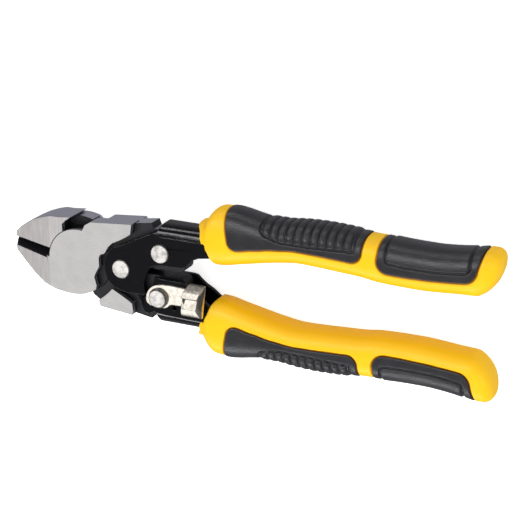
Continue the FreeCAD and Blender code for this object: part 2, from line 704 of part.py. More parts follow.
def grips():
    """Yellow core with two inlaid soft pads, for each handle."""
    gap = size("soft_gap")
    skin = grip_solid("grip_skin", 0.0)
    proud = grip_solid("grip_proud", -size("pad_proud"))
    bed = grip_solid("grip_bed", size("pad_depth"))
    deep = grip_solid("grip_deep", size("pad_depth") + gap)
    mouth = prism("grip_mouth", MOUTH)
    core = combine("Part::Cut", "grip_trimmed", skin, mouth)
    pads = []
    for name, outline in (("front", front_pad_outline), ("rear", rear_pad_outline)):
        space = combine("Part::Cut", f"{name}_space", prism(f"{name}_space_prism", outline(gap)),
                        deep)
        core = combine("Part::Cut", f"grip_less_{name}", core, space)
        blank = combine("Part::Common", f"{name}_blank", proud,
                        prism(f"{name}_prism", outline(0.0)))
        soft = combine("Part::Cut", f"upper_{name}_pad", blank, bed)
        soft.Label = f"upper_{name}_pad"
        pads.append(soft)
    body = combine("Part::Cut", "upper_grip", core, tang_space())
    body.Label = "upper_grip"
    uppers = [body] + pads
    lowers = []
    for piece in uppers:
        lowers.append(mirrored(piece, piece.Label.replace("upper_", "lower_")))
    for piece in uppers:
        lift(piece)
    return uppers + lowers


# ---------------------------------------------------------------- assemble and write
parts = [
    build_jaw("front_jaw", -1, 1, "Sizes.jaw_pin_radius",
              "Sizes.link_radius + Sizes.running_gap", 1.4),
    build_jaw("rear_jaw", 1, -1, "Sizes.jaw_pin_radius + Sizes.running_gap",
              "Sizes.link_radius + Sizes.open_pivot_gap", 1.1),
    upper_channel(),
    lower_channel(),
]
parts += rivets_and_washers()
parts.append(return_spring())
parts.append(latch())
parts += grips()
doc.recompute()

for thing in doc.Objects:
    if "Invalid" in thing.State or "Error" in thing.State:
        raise RuntimeError(f"{thing.Label} did not rebuild: {thing.State}")
for piece in parts:
    shape = piece.Shape
    if shape.isNull() or not shape.isValid() or not shape.Solids:
        raise RuntimeError(f"{piece.Label} is not a valid solid")
    shape.exportStep(f"parts/{piece.Label}.step")
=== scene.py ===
import math

import bmesh
import bpy
import numpy as np
from mathutils import Matrix, Vector


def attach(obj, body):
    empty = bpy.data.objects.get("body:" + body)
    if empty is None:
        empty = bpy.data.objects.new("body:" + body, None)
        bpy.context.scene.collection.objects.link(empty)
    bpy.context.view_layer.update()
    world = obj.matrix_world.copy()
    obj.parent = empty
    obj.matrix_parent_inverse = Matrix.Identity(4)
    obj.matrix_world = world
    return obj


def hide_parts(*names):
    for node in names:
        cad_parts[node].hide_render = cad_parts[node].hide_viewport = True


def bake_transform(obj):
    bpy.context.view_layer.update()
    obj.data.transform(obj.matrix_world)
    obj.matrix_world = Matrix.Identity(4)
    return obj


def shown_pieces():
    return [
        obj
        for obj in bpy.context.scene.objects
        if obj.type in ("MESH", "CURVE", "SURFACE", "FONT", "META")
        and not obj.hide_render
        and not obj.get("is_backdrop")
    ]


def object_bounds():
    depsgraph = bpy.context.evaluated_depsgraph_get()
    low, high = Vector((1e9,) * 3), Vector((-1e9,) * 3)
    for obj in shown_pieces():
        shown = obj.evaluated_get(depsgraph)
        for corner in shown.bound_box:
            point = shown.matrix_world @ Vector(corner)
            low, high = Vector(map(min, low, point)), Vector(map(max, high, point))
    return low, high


# Looks of the closed cutting pliers.  Metres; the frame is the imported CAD: X toward the
# handle ends, Y toward the upper handle, Z out of the front face.
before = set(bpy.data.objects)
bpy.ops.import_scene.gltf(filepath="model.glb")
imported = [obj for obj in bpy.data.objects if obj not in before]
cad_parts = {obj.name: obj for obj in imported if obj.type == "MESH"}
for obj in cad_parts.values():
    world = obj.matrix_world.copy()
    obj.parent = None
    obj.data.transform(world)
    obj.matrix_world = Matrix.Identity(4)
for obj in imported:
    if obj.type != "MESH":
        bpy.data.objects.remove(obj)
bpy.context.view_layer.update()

MM = 0.001
MIDDLE = 7.0                                   # height of the tool's middle plane, mm


# ------------------------------------------------------------------ material helpers
class Nodes:
    """Short way to write a node tree."""

    def __init__(self, name):
        self.material = bpy.data.materials.new(name)
        self.material.use_nodes = True
        self.tree = self.material.node_tree
        self.tree.nodes.clear()
        self.out = self.tree.nodes.new("ShaderNodeOutputMaterial")
        self.shader = self.tree.nodes.new("ShaderNodeBsdfPrincipled")
        self.link(self.shader.outputs[0], self.out.inputs["Surface"])
        self.coords = self.tree.nodes.new("ShaderNodeTexCoord").outputs["Object"]

    def link(self, source, target):
        self.tree.links.new(source, target)

    def put(self, target, value):
        if isinstance(value, bpy.types.NodeSocket):
            self.link(value, target)
        elif isinstance(value, (tuple, list)) and len(value) == 3 and target.type == "RGBA":
            target.default_value = (*value, 1.0)
        else:
            target.default_value = value

    def principled(self, **values):
        names = {"base": "Base Color", "metal": "Metallic", "rough": "Roughness",
                 "normal": "Normal", "specular": "Specular IOR Level",
                 "sheen": "Sheen Weight", "subsurface": "Subsurface Weight",
                 "scale": "Subsurface Scale", "anisotropic": "Anisotropic"}
        for key, value in values.items():
            self.put(self.shader.inputs[names[key]], value)
        return self.material

    def math(self, operation, a, b=0.0):
        node = self.tree.nodes.new("ShaderNodeMath")
        node.operation = operation
        for socket, value in zip(node.inputs, (a, b)):
            self.put(socket, value)
        return node.outputs[0]

    def scaled(self, scale, rotation=(0.0, 0.0, 0.0)):
        node = self.tree.nodes.new("ShaderNodeMapping")
        self.link(self.coords, node.inputs["Vector"])
        node.inputs["Scale"].default_value = scale
        node.inputs["Rotation"].default_value = rotation
        return node.outputs[0]

    def noise(self, scale, detail=4.0, rough=0.55, vector=None, distortion=0.0):
        node = self.tree.nodes.new("ShaderNodeTexNoise")
        self.link(vector if vector is not None else self.coords, node.inputs["Vector"])
        node.inputs["Scale"].default_value = scale
        node.inputs["Detail"].default_value = detail
        node.inputs["Roughness"].default_value = rough
        node.inputs["Distortion"].default_value = distortion
        return node.outputs["Fac"]

    def voronoi(self, scale):
        node = self.tree.nodes.new("ShaderNodeTexVoronoi")
        self.link(self.coords, node.inputs["Vector"])
        node.inputs["Scale"].default_value = scale
        return node.outputs["Distance"]

    def ramp(self, value, low, high, start=0.0, end=1.0):
        node = self.tree.nodes.new("ShaderNodeMapRange")
        node.clamp = True
        self.put(node.inputs["Value"], value)
        for key, number in (("From Min", low), ("From Max", high), ("To Min", start),
                            ("To Max", end)):
            self.put(node.inputs[key], number)
        return node.outputs[0]

    def mix(self, factor, a, b):
        node = self.tree.nodes.new("ShaderNodeMix")
        node.data_type = "RGBA"
        self.put(node.inputs[0], factor)
        self.put(node.inputs[6], a)
        self.put(node.inputs[7], b)
        return node.outputs[2]

    def bump(self, height, distance, strength=1.0, normal=None):
        node = self.tree.nodes.new("ShaderNodeBump")
        node.inputs["Distance"].default_value = distance
        node.inputs["Strength"].default_value = strength
        self.put(node.inputs["Height"], height)
        if normal is not None:
            self.link(normal, node.inputs["Normal"])
        return node.outputs[0]

    def soft_edge(self, radius):
        node = self.tree.nodes.new("ShaderNodeBevel")
        node.samples = 6
        node.inputs["Radius"].default_value = radius
        return node.outputs[0]

    def position(self):
        node = self.tree.nodes.new("ShaderNodeSeparateXYZ")
        self.link(self.coords, node.inputs[0])
        return node.outputs

    def facing(self):
        """Surface normal in object space."""
        source = self.tree.nodes.new("ShaderNodeTexCoord").outputs["Normal"]
        node = self.tree.nodes.new("ShaderNodeSeparateXYZ")
        self.link(source, node.inputs[0])
        return node.outputs

    def crevice_shade(self, reach):
        """Mask for painted shade: 1 deep in a narrow gap, 0 on open surface."""
        node = self.tree.nodes.new("ShaderNodeAmbientOcclusion")
        node.samples = 8
        node.inputs["Distance"].default_value = reach
        return self.ramp(node.outputs["AO"], 0.86, 0.45)

    def edge_wear_and_glint(self, reach):
        """1 where an edge is near: difference between the rounded and plain normal."""
        bevel = self.soft_edge(reach)
        plain = self.tree.nodes.new("ShaderNodeNewGeometry").outputs["Normal"]
        node = self.tree.nodes.new("ShaderNodeVectorMath")
        node.operation = "DOT_PRODUCT"
        self.link(bevel, node.inputs[0])
        self.link(plain, node.inputs[1])
        return self.ramp(node.outputs["Value"], 0.98, 0.75)


# ------------------------------------------------------------------ materials
HEAD_TILT = math.radians(9.65)                 # slope of the cutting line
EDGE_OFFSET = -0.8                             # height of the cutting line at the jaw pivot, mm


def jaw_steel(name, grain_from):
    """Ground faces with fine lines, along the tool behind grain_from and across the blades in
    front of it; forged recesses stay black and the cutting bevels dark. Ground faces turned
    sideways get a painted pale blue-grey reflection."""
    m = Nodes(name)
    x, y, z = m.position()
    normal_z = m.math("ABSOLUTE", m.facing()[2])
    on_blade = m.ramp(x, grain_from * MM, (grain_from - 0.4) * MM)
    along = m.noise(1.0, 7.0, 0.72, m.scaled((240.0, 5200.0, 3000.0), (0, 0, 0.06)))
    across = m.noise(1.0, 7.0, 0.72, m.scaled((5600.0, 330.0, 3000.0), (0, 0, HEAD_TILT)))
    lines = m.math("ADD", m.math("MULTIPLY", along, m.math("SUBTRACT", 1.0, on_blade)),
                   m.math("MULTIPLY", across, on_blade))
    broad = m.noise(150.0, 3.0, 0.5)
    streak = m.noise(1.0, 3.0, 0.5, m.scaled((1500.0, 90.0, 500.0), (0, 0, HEAD_TILT)))
    bright = m.mix(m.ramp(lines, 0.30, 0.70), (0.44, 0.43, 0.415), (0.62, 0.61, 0.595))
    rosy = m.mix(m.ramp(streak, 0.35, 0.7), (0.62, 0.585, 0.56), (0.43, 0.40, 0.40))
    bright = m.mix(m.math("MULTIPLY", on_blade, 0.55), bright, rosy)
    bright = m.mix(m.ramp(broad, 0.4, 0.75, 0.0, 0.35), bright, (0.40, 0.395, 0.40))
    away = m.math("ABSOLUTE", m.math("SUBTRACT", z, MIDDLE * MM))
    face = m.ramp(away, 5.2 * MM, 5.5 * MM)
    blade = m.ramp(x, -13.0 * MM, -13.6 * MM)
    side = m.ramp(normal_z, 0.75, 0.45)
    upright = m.ramp(m.math("ABSOLUTE", m.facing()[1]), 0.80, 0.86)
    outer = m.math("MULTIPLY", upright, m.ramp(m.math("ABSOLUTE", y), 14.2 * MM, 15.6 * MM))
    ground = m.math("MAXIMUM", m.math("MAXIMUM", face, blade), outer)
    lift = m.math("MULTIPLY", m.math("SUBTRACT", y, EDGE_OFFSET * MM), math.cos(HEAD_TILT))
    offset = m.math("ABSOLUTE", m.math("ADD", m.math("MULTIPLY", x, math.sin(HEAD_TILT)), lift))
    near_edge = m.ramp(offset, 2.75 * MM, 2.6 * MM)
    bevel = m.math("MULTIPLY", m.math("MULTIPLY", near_edge, blade), m.ramp(normal_z, 0.95, 0.85))
    scale = m.noise(900.0, 6.0, 0.65)
    black = m.mix(scale, (0.004, 0.004, 0.005), (0.022, 0.022, 0.026))
    base = m.mix(ground, black, bright)
    base = m.mix(bevel, base, m.mix(scale, (0.016, 0.016, 0.020), (0.05, 0.05, 0.06)))
    # painted reflection: ground faces turned sideways are tinted pale blue-grey, as if mirroring
    # the surroundings
    painted_side_reflection = m.math("MULTIPLY", m.math("MULTIPLY", side, ground), 0.8)
    painted_side_reflection = m.math("MULTIPLY", painted_side_reflection, m.math("SUBTRACT", 1.0, bevel))
    base = m.mix(painted_side_reflection, base, (0.85, 0.85, 0.95))
    rough = m.ramp(lines, 0.2, 0.8, 0.30, 0.46)
    rough = m.math("ADD", m.math("MULTIPLY", ground, rough),
                   m.math("MULTIPLY", m.math("SUBTRACT", 1.0, ground), 0.45))
    fine = m.bump(lines, 0.00002, 0.45, m.soft_edge(0.00035))
    pitted = m.bump(m.math("MULTIPLY", scale, m.math("SUBTRACT", 1.0, ground)), 0.0003, 0.6,
                    fine)
    metal = m.math("SUBTRACT", m.ramp(ground, 0.0, 1.0, 0.2, 1.0), m.math("MULTIPLY", bevel, 0.5))
    return m.principled(base=base, metal=metal, rough=rough, normal=pitted, anisotropic=0.3)


def black_enamel():
    m = Nodes("black_enamel")
    peel = m.noise(1100.0, 3.0, 0.5)
    dust = m.noise(260.0, 5.0, 0.6)
    # rounded edges go patchy pale grey and more metallic: partly paint worn to the metal, partly
    # a painted edge highlight
    edge_wear_and_glint = m.math("MULTIPLY", m.edge_wear_and_glint(0.0004), m.ramp(m.noise(420.0, 5.0, 0.7), 0.50, 0.64))
    base = m.mix(dust, (0.0022, 0.0022, 0.0028), (0.0050, 0.0052, 0.0068))
    base = m.mix(edge_wear_and_glint, base, (0.10, 0.105, 0.115))
    rough = m.ramp(dust, 0.3, 0.7, 0.06, 0.15)
    return m.principled(base=base, metal=m.ramp(edge_wear_and_glint, 0.0, 1.0, 0.0, 0.6), rough=rough,
                        normal=m.bump(peel, 0.00006, 0.35, m.soft_edge(0.0005)), specular=0.34)


def plated_steel(name, light, dark, rough, marks):
    """Plated steel with hammer marks: light and dark tints, and the size of the marks."""
    m = Nodes(name)
    grain = m.noise(1500.0, 5.0, 0.65)
    dents = m.noise(marks, 3.0, 0.6, distortion=0.4)
    scuffs = m.noise(1.0, 4.0, 0.6, m.scaled((900.0, 2600.0, 1400.0)))
    base = m.mix(m.ramp(dents, 0.42, 0.66), light, dark)
    base = m.mix(m.ramp(grain, 0.55, 0.75, 0.0, 0.4), base, (0.30, 0.27, 0.24))
    roughness = m.ramp(scuffs, 0.25, 0.8, rough * 0.7, rough * 1.6)
    shape = m.bump(dents, 0.00018, 0.4, m.soft_edge(0.0003))
    return m.principled(base=base, metal=1.0, rough=roughness,
                        normal=m.bump(grain, 0.00006, 0.5, shape))


def oiled_steel():
    m = Nodes("oiled_steel")
    grain = m.noise(900.0, 5.0, 0.6)
    base = m.mix(grain, (0.10, 0.10, 0.11), (0.26, 0.26, 0.28))
    return m.principled(base=base, metal=1.0, rough=m.ramp(grain, 0.3, 0.7, 0.25, 0.45),
                        normal=m.bump(grain, 0.00003, 0.4))


def yellow_plastic():
    m = Nodes("yellow_plastic")
    grain = m.noise(2600.0, 4.0, 0.6)
    patch = m.noise(45.0, 3.0, 0.5)
    smudge = m.noise(210.0, 5.0, 0.65)
    base = m.mix(patch, (0.93, 0.52, 0.001), (0.97, 0.57, 0.003))
    base = m.mix(m.ramp(smudge, 0.62, 0.85, 0.0, 0.25), base, (0.80, 0.40, 0.003))
    # painted shade: deep orange in narrow gaps, as along the seams round the pads
    base = m.mix(m.crevice_shade(0.0014), base, (0.50, 0.16, 0.001))
    rough = m.ramp(smudge, 0.3, 0.75, 0.34, 0.50)
    return m.principled(base=base, metal=0.0, rough=rough, subsurface=0.05, scale=0.001,
                        normal=m.bump(grain, 0.00004, 0.35), specular=0.25)


def soft_pad():
    m = Nodes("soft_pad")
    grain = m.voronoi(1500.0)
    fine = m.noise(3200.0, 4.0, 0.7)
    cloud = m.noise(180.0, 5.0, 0.6)
    base = m.mix(cloud, (0.013, 0.013, 0.016), (0.022, 0.022, 0.026))
    # painted shade: near black in the grooves and in the seams round the pad
    base = m.mix(m.crevice_shade(0.0013), base, (0.002, 0.002, 0.003))
    # painted glints: pale specks on the fine grain stand in for its sparkle
    base = m.mix(m.ramp(fine, 0.58, 0.72, 0.0, 0.6), base, (0.085, 0.085, 0.092))
    rough = m.ramp(cloud, 0.3, 0.7, 0.30, 0.42)
    shape = m.bump(grain, 0.00010, 0.5)
    return m.principled(base=base, metal=0.0, rough=rough, sheen=0.06,
                        normal=m.bump(fine, 0.00007, 0.6, shape), specular=0.45)


def floor_paper():
    """Pale paper, lit through for the camera so that shadows on it stay faint."""
    m = Nodes("floor_paper")
    fibre = m.noise(700.0, 5.0, 0.6)
    base = m.mix(fibre, (0.90, 0.90, 0.90), (0.93, 0.93, 0.93))
    camera = m.tree.nodes.new("ShaderNodeLightPath").outputs["Is Camera Ray"]
    m.put(m.shader.inputs["Emission Color"], (1.0, 1.0, 1.0))
    m.put(m.shader.inputs["Emission Strength"], m.math("MULTIPLY", camera, 0.75))
    return m.principled(base=base, rough=0.9, normal=m.bump(fibre, 0.00005, 0.2))


FRONT_STEEL = jaw_steel("front_jaw_steel", -13.9)
REAR_STEEL = jaw_steel("rear_jaw_steel", 10.0)
ENAMEL = black_enamel()
RIVET = plated_steel("rivet_steel", (0.72, 0.69, 0.66), (0.40, 0.385, 0.37), 0.26, 420.0)
NICKEL = plated_steel("latch_nickel", (0.84, 0.79, 0.70), (0.62, 0.56, 0.48), 0.20, 500.0)
OILED = oiled_steel()
YELLOW = yellow_plastic()
PAD = soft_pad()


# ------------------------------------------------------------------ mesh helpers
def mesh_object(name, points, faces, material, smooth=True):
    """Points in mm about the tool's middle plane."""
    data = bpy.data.meshes.new(name)
    placed = np.array(points, float) * MM
    placed[:, 2] += MIDDLE * MM
    data.from_pydata(placed.tolist(), [], faces)
    data.materials.append(material)
    work = bmesh.new()
    work.from_mesh(data)
    bmesh.ops.remove_doubles(work, verts=work.verts, dist=1e-6)
    bmesh.ops.recalc_face_normals(work, faces=work.faces)
    work.to_mesh(data)
    work.free()
    if smooth:
        data.polygons.foreach_set("use_smooth", [True] * len(data.polygons))
    data.update()
    thing = bpy.data.objects.new(name, data)
    bpy.context.scene.collection.objects.link(thing)
    return thing


def grid_faces(rows, columns, wrap=False):
    faces = []
    last = columns if wrap else columns - 1
    for i in range(rows - 1):
        for j in range(last):
            k = (j + 1) % columns
            faces.append((i * columns + j, i * columns + k, (i + 1) * columns + k,
                          (i + 1) * columns + j))
    return faces


def smoothstep(value, low, high):
    t = np.clip((value - low) / (high - low), 0.0, 1.0)
    return t * t * (3 - 2 * t)


def hermite(xs, ys, x):
    """Smooth curve through the points, without overshoot."""
    xs = np.array(xs, float)
    ys = np.array(ys, float)
    step = np.diff(xs)
    rise = np.diff(ys) / step
    slope = np.zeros_like(ys)
    slope[0], slope[-1] = rise[0], rise[-1]
    for k in range(1, len(xs) - 1):
        if rise[k - 1] * rise[k] > 0:
            a, b = step[k - 1], step[k]
            w1, w2 = 2 * b + a, b + 2 * a
            slope[k] = (w1 + w2) / (w1 / rise[k - 1] + w2 / rise[k])
    x = np.asarray(x, float)
    index = np.clip(np.searchsorted(xs, x) - 1, 0, len(xs) - 2)
    h = step[index]
    t = np.clip((x - xs[index]) / h, 0.0, 1.0)
    return ((1 + 2 * t) * (1 - t)**2 * ys[index] + t * (1 - t)**2 * h * slope[index]
            + t * t * (3 - 2 * t) * ys[index + 1] + t * t * (t - 1) * h * slope[index + 1])


# ------------------------------------------------------------------ grips
# outline of the grip in plan, mm: palm side, finger side, and half thickness
GRIP_START, GRIP_END = 53.0, 180.9
END_TURN = 176.0                               # beyond this the stations crowd toward the end
OUTER_EDGE = [(53.0, 22.4), (54.2, 24.0), (55.4, 24.8), (57.0, 25.0), (58.1, 25.9), (59.2, 28.0),
              (60.4, 29.6), (61.6, 30.8), (63.2, 31.6), (65.6, 31.9), (69.6, 32.0), (73.6, 31.5),
              (78.9, 30.4), (84.6, 29.5), (91.0, 29.4), (99.6, 30.2), (108.0, 30.5),
              (116.6, 30.2), (124.0, 29.6), (132.8, 29.1), (145.5, 28.4), (153.6, 28.3),
              (161.5, 28.8), (169.4, 29.9), (174.4, 30.9), (177.2, 31.1), (179.0, 30.5),
              (180.1, 29.4), (180.7, 28.0), (180.9, 26.4)]
INNER_EDGE = [(53.0, 7.4), (60.0, 7.1), (65.0, 7.2), (73.1, 8.8), (81.9, 10.7), (88.4, 12.0),
              (99.1, 13.3), (107.7, 13.0), (116.1, 12.5), (124.5, 12.0), (132.8, 10.9),
              (141.0, 10.6), (149.1, 10.5), (157.1, 10.9), (165.0, 11.5), (170.8, 11.75),
              (172.2, 11.95), (173.4, 12.6), (175.6, 14.2), (178.4, 17.6), (179.8, 20.8),
              (180.7, 24.4), (180.9, 26.0)]
THICKNESS = [(53.0, 7.7), (56.6, 7.8), (58.4, 8.3), (60.5, 9.0), (66.0, 9.3), (100.0, 9.3),
             (165.0, 9.3), (171.0, 9.25), (174.5, 8.9), (177.0, 8.2), (179.0, 6.9), (180.2, 5.0),
             (180.75, 2.8), (180.9, 0.9)]
# where the grip begins, as a function of height across the handle
MOUTH = [(6.0, 63.9), (8.3, 61.8), (9.9, 61.0), (13.2, 60.2), (15.2, 59.1), (16.8, 57.3),
         (18.9, 56.4), (21.0, 56.3), (22.5, 55.8), (23.6, 55.0), (24.5, 54.5), (25.5, 54.3)]
LIP = 0.9                                      # radius of the rounded lip at the mouth
SQUARENESS = 2.5                               # power of the superellipse, 2 is an ellipse
AROUND = 720                                   # points around each station


class Grip:
    """Smooth skin of one grip, addressed by x and by distance around from the palm line."""

    def __init__(self):
        spread = np.linspace(0.0, 1.0, 900)
        main = GRIP_START + spread * (END_TURN - GRIP_START)
        turn = np.linspace(0, math.pi / 2, 160)[1:]
        end = END_TURN + (GRIP_END - END_TURN) * np.sin(turn)
        self.x = np.concatenate([main, end])
        outer = hermite(*zip(*OUTER_EDGE), self.x)
        inner = hermite(*zip(*INNER_EDGE), self.x)
        half = hermite(*zip(*THICKNESS), self.x)
        angle = np.linspace(-math.pi, math.pi, AROUND + 1)
        power = 2.0 / SQUARENESS
        across = np.sign(np.cos(angle)) * np.abs(np.cos(angle))**power
        depth = np.sign(np.sin(angle)) * np.abs(np.sin(angle))**power
        self.y = np.zeros((len(self.x), AROUND + 1))
        self.z = np.zeros_like(self.y)
        self.length = np.zeros(len(self.x))
        even = np.linspace(0.0, 1.0, AROUND + 1)
        for k in range(len(self.x)):
            y = (outer[k] + inner[k]) / 2 + (outer[k] - inner[k]) / 2 * across
            z = half[k] * depth
            run = np.concatenate([[0.0], np.cumsum(np.hypot(np.diff(y), np.diff(z)))])
            self.length[k] = run[-1]
            self.y[k] = np.interp(even, run / run[-1], y)
            self.z[k] = np.interp(even, run / run[-1], z)

    def rows(self, x):
        place = np.interp(x, self.x, np.arange(len(self.x)))
        low = np.clip(place.astype(int), 0, len(self.x) - 2)
        return low, place - low

    def girth(self, x):
        return np.interp(x, self.x, self.length)

    def point(self, x, s):
        """Points of the skin; s is measured around from the palm line toward the front."""
        x = np.asarray(x, float)
        low, part = self.rows(x)
        share = (np.asarray(s, float) / self.girth(x) + 0.5) * AROUND
        share = np.clip(share, 0.0, AROUND)
        column = np.clip(share.astype(int), 0, AROUND - 1)
        f = share - column

        def pick(table):
            a = table[low, column] * (1 - f) + table[low, column + 1] * f
            b = table[low + 1, column] * (1 - f) + table[low + 1, column + 1] * f
            return a * (1 - part) + b * part

        return np.stack([x, pick(self.y), pick(self.z)], axis=-1)

    def normal(self, x, s):
        dx, ds = 0.4, 0.35
        girth = self.girth(x)
        ahead = np.minimum(x + dx, GRIP_END - 0.05)
        behind = np.maximum(x - dx, GRIP_START)
        scale_a = self.girth(ahead) / girth
        scale_b = self.girth(behind) / girth
        along = self.point(ahead, s * scale_a) - self.point(behind, s * scale_b)
        s_up = np.clip(s + ds, -girth / 2, girth / 2)
        s_down = np.clip(s - ds, -girth / 2, girth / 2)
        around = self.point(x, s_up) - self.point(x, s_down)
        n = np.cross(around, along)
        size = np.linalg.norm(n, axis=-1, keepdims=True)
        size[size < 1e-9] = 1.0
        n = n / size
        centre = self.point(x, np.zeros_like(s)) * 0.5 + self.point(x, girth / 2) * 0.5
        outward = np.sum(n * (self.point(x, s) - centre), axis=-1, keepdims=True)
        return np.where(outward < 0, -n, n)


GRIP = Grip()


class PadShape:
    """One inlaid pad: a round-cornered patch of the skin, folded over the palm line."""

    def __init__(self, left, right, left_bow, right_bow, edge, corner):
        self.left, self.right = left, right
        self.left_bow, self.right_bow = left_bow, right_bow
        self.edge, self.corner = edge, corner

    def half_width(self, x):
        """Distance from palm line to the pad's long edge, drawn in at the corners."""
        s = hermite(*zip(*self.edge), x)
        r = self.corner
        near = np.clip(np.minimum(x - self.left, self.right - x), 0.0, r)
        return s - r + np.sqrt(np.maximum(r * r - (r - near)**2, 0.0))

    def place(self, u, v):
        """x and s of the patch point (u along, v across from -1 to 1)."""
        bow = 1 - v**2
        left = self.left + self.left_bow * bow
        right = self.right + self.right_bow * bow
        straight = self.left + (self.right - self.left) * u
        return left + (right - left) * u, v * self.half_width(straight)

    def outline(self, count=220):
        """Closed outline in the (x, s) plane."""
        u = 0.5 - 0.5 * np.cos(np.linspace(0, math.pi, count))
        v = np.linspace(-1, 1, 60)
        top = np.stack(self.place(u, np.ones_like(u)), axis=-1)
        right = np.stack(self.place(np.ones_like(v), v[::-1]), axis=-1)
        bottom = np.stack(self.place(u[::-1], -np.ones_like(u)), axis=-1)
        left = np.stack(self.place(np.zeros_like(v), v), axis=-1)
        return np.concatenate([top, right, bottom, left])


def signed_distance(points, outline):
    """Distance of (x, s) points from a closed outline, negative inside."""
    a = outline
    b = np.roll(outline, -1, axis=0)
    best = np.full(len(points), 1e9)
    inside = np.zeros(len(points), bool)
    for (ax, ay), (bx, by) in zip(a, b):
        dx, dy = bx - ax, by - ay
        size = dx * dx + dy * dy
        px, py = points[:, 0] - ax, points[:, 1] - ay
        if size > 1e-12:
            t = np.clip((px * dx + py * dy) / size, 0.0, 1.0)
        else:
            t = 0.0
        best = np.minimum(best, (px - t * dx)**2 + (py - t * dy)**2)
        if abs(dy) > 1e-12:
            crossing = (ay > points[:, 1]) != (by > points[:, 1])
            inside ^= crossing & (points[:, 0] < dx * (points[:, 1] - ay) / dy + ax)
    best = np.sqrt(best)
    return np.where(inside, -best, best)


FRONT_PAD = PadShape(69.4, 126.0, -1.9, 0.3,
                     [(66.0, 21.6), (70.0, 21.4), (73.2, 20.7), (79.8, 18.2), (88.3, 16.1),
                      (95.2, 15.7), (105.3, 16.3), (113.7, 16.5), (120.4, 16.4), (130.0, 16.3)],
                     4.6)
REAR_PAD = PadShape(132.5, 172.3, 0.5, 1.5,
                    [(128.0, 17.8), (136.4, 17.8), (142.5, 17.6), (150.5, 17.2), (158.5, 17.0),
                     (166.3, 17.2), (176.0, 17.4)], 4.6)
PROUD = 0.3                                    # height of a pad above the moulding's skin
SUNK = 0.75                                    # depth of the seat that a pad lies in
SEAT_START, SEAT_TURN = 55.0, 175.5            # stations of the moulding, as for the skin


def grip_core(name, side):
    """Yellow moulding, sunk under the pads, with a rounded mouth and a closed end."""
    columns = 220
    outlines = [shape.outline() for shape in (FRONT_PAD, REAR_PAD)]
    main = np.linspace(0.0, 1.0, 420)
    xs = SEAT_START + main * (SEAT_TURN - SEAT_START)
    end = SEAT_TURN + (GRIP_END - SEAT_TURN) * np.sin(np.linspace(0, math.pi / 2, 34)[1:])
    xs = np.concatenate([xs, end])
    share = np.linspace(-0.5, 0.5, columns, endpoint=False)
    grid = []
    mouth_x, mouth_y = [np.array(c) for c in (list(zip(*MOUTH))[1], list(zip(*MOUTH))[0])]
    for x in xs:
        row_x = np.full(columns, x)
        fade = 1 - smoothstep(x, SEAT_START, 72.0)
        for _ in range(3):
            s = share * GRIP.girth(row_x)
            y = GRIP.point(row_x, s)[:, 1]
            start = np.interp(y, mouth_y, mouth_x) + LIP * 0.9
            row_x = x + (start - SEAT_START) * fade
        grid.append(np.stack([row_x, share * GRIP.girth(row_x)], axis=-1))
    grid = np.array(grid)
    flat = grid.reshape(-1, 2)
    depth = np.zeros(len(flat))
    for outline in outlines:
        near = ((flat[:, 0] > outline[:, 0].min() - 3) & (flat[:, 0] < outline[:, 0].max() + 3))
        d = np.full(len(flat), 9.0)
        d[near] = signed_distance(flat[near], outline)
        depth = np.maximum(depth, SUNK * smoothstep(d, 0.72, 0.18))
        depth -= 0.14 * np.exp(-((d - 1.45) / 0.55)**2)
    points = GRIP.point(flat[:, 0], flat[:, 1])
    normals = GRIP.normal(flat[:, 0], flat[:, 1])
    points = points - normals * depth[:, None]
    rows = [points[k * columns:(k + 1) * columns] for k in range(len(xs))]
    # rounded lip, then a wall going in to the channel and a short way along it
    first = rows[0]
    first_normal = normals[:columns]
    lip = []
    for angle in (90, 68, 45, 22):
        turn = math.radians(angle)
        moved = first - first_normal * (LIP * (1 - math.sin(math.pi / 2 - turn)))
        moved[:, 0] -= LIP * math.sin(turn)
        lip.append(moved)
    centre_y, half_y, half_z = 15.9, 5.75, 7.0
    turn = np.arctan2(first[:, 2], first[:, 1] - centre_y)
    box = 1.0 / np.maximum(np.abs(np.cos(turn)) / half_y, np.abs(np.sin(turn)) / half_z)
    inner = np.stack([lip[0][:, 0] + 0.6, centre_y + box * np.cos(turn), box * np.sin(turn)],
                     axis=-1)
    deep = inner + np.array([3.0, 0.0, 0.0])
    rows = [deep, inner] + lip + rows
    tip = rows[-1].mean(axis=0) + np.array([0.02, 0.0, 0.0])
    points = np.concatenate(rows + [tip[None, :]])
    faces = grid_faces(len(rows), columns, wrap=True)
    base = (len(rows) - 1) * columns
    for j in range(columns):
        faces.append((base + j, base + (j + 1) % columns, len(points) - 1))
    points[:, 1] *= side
    return mesh_object(name, points, faces, YELLOW)


def spaced(count, fine):
    """Shares 0 to 1, with a few closely spaced ones at both ends."""
    body = np.linspace(fine[-1], 1 - fine[-1], count)
    return np.concatenate([fine[:-1], body, (1 - np.array(fine[:-1]))[::-1]])


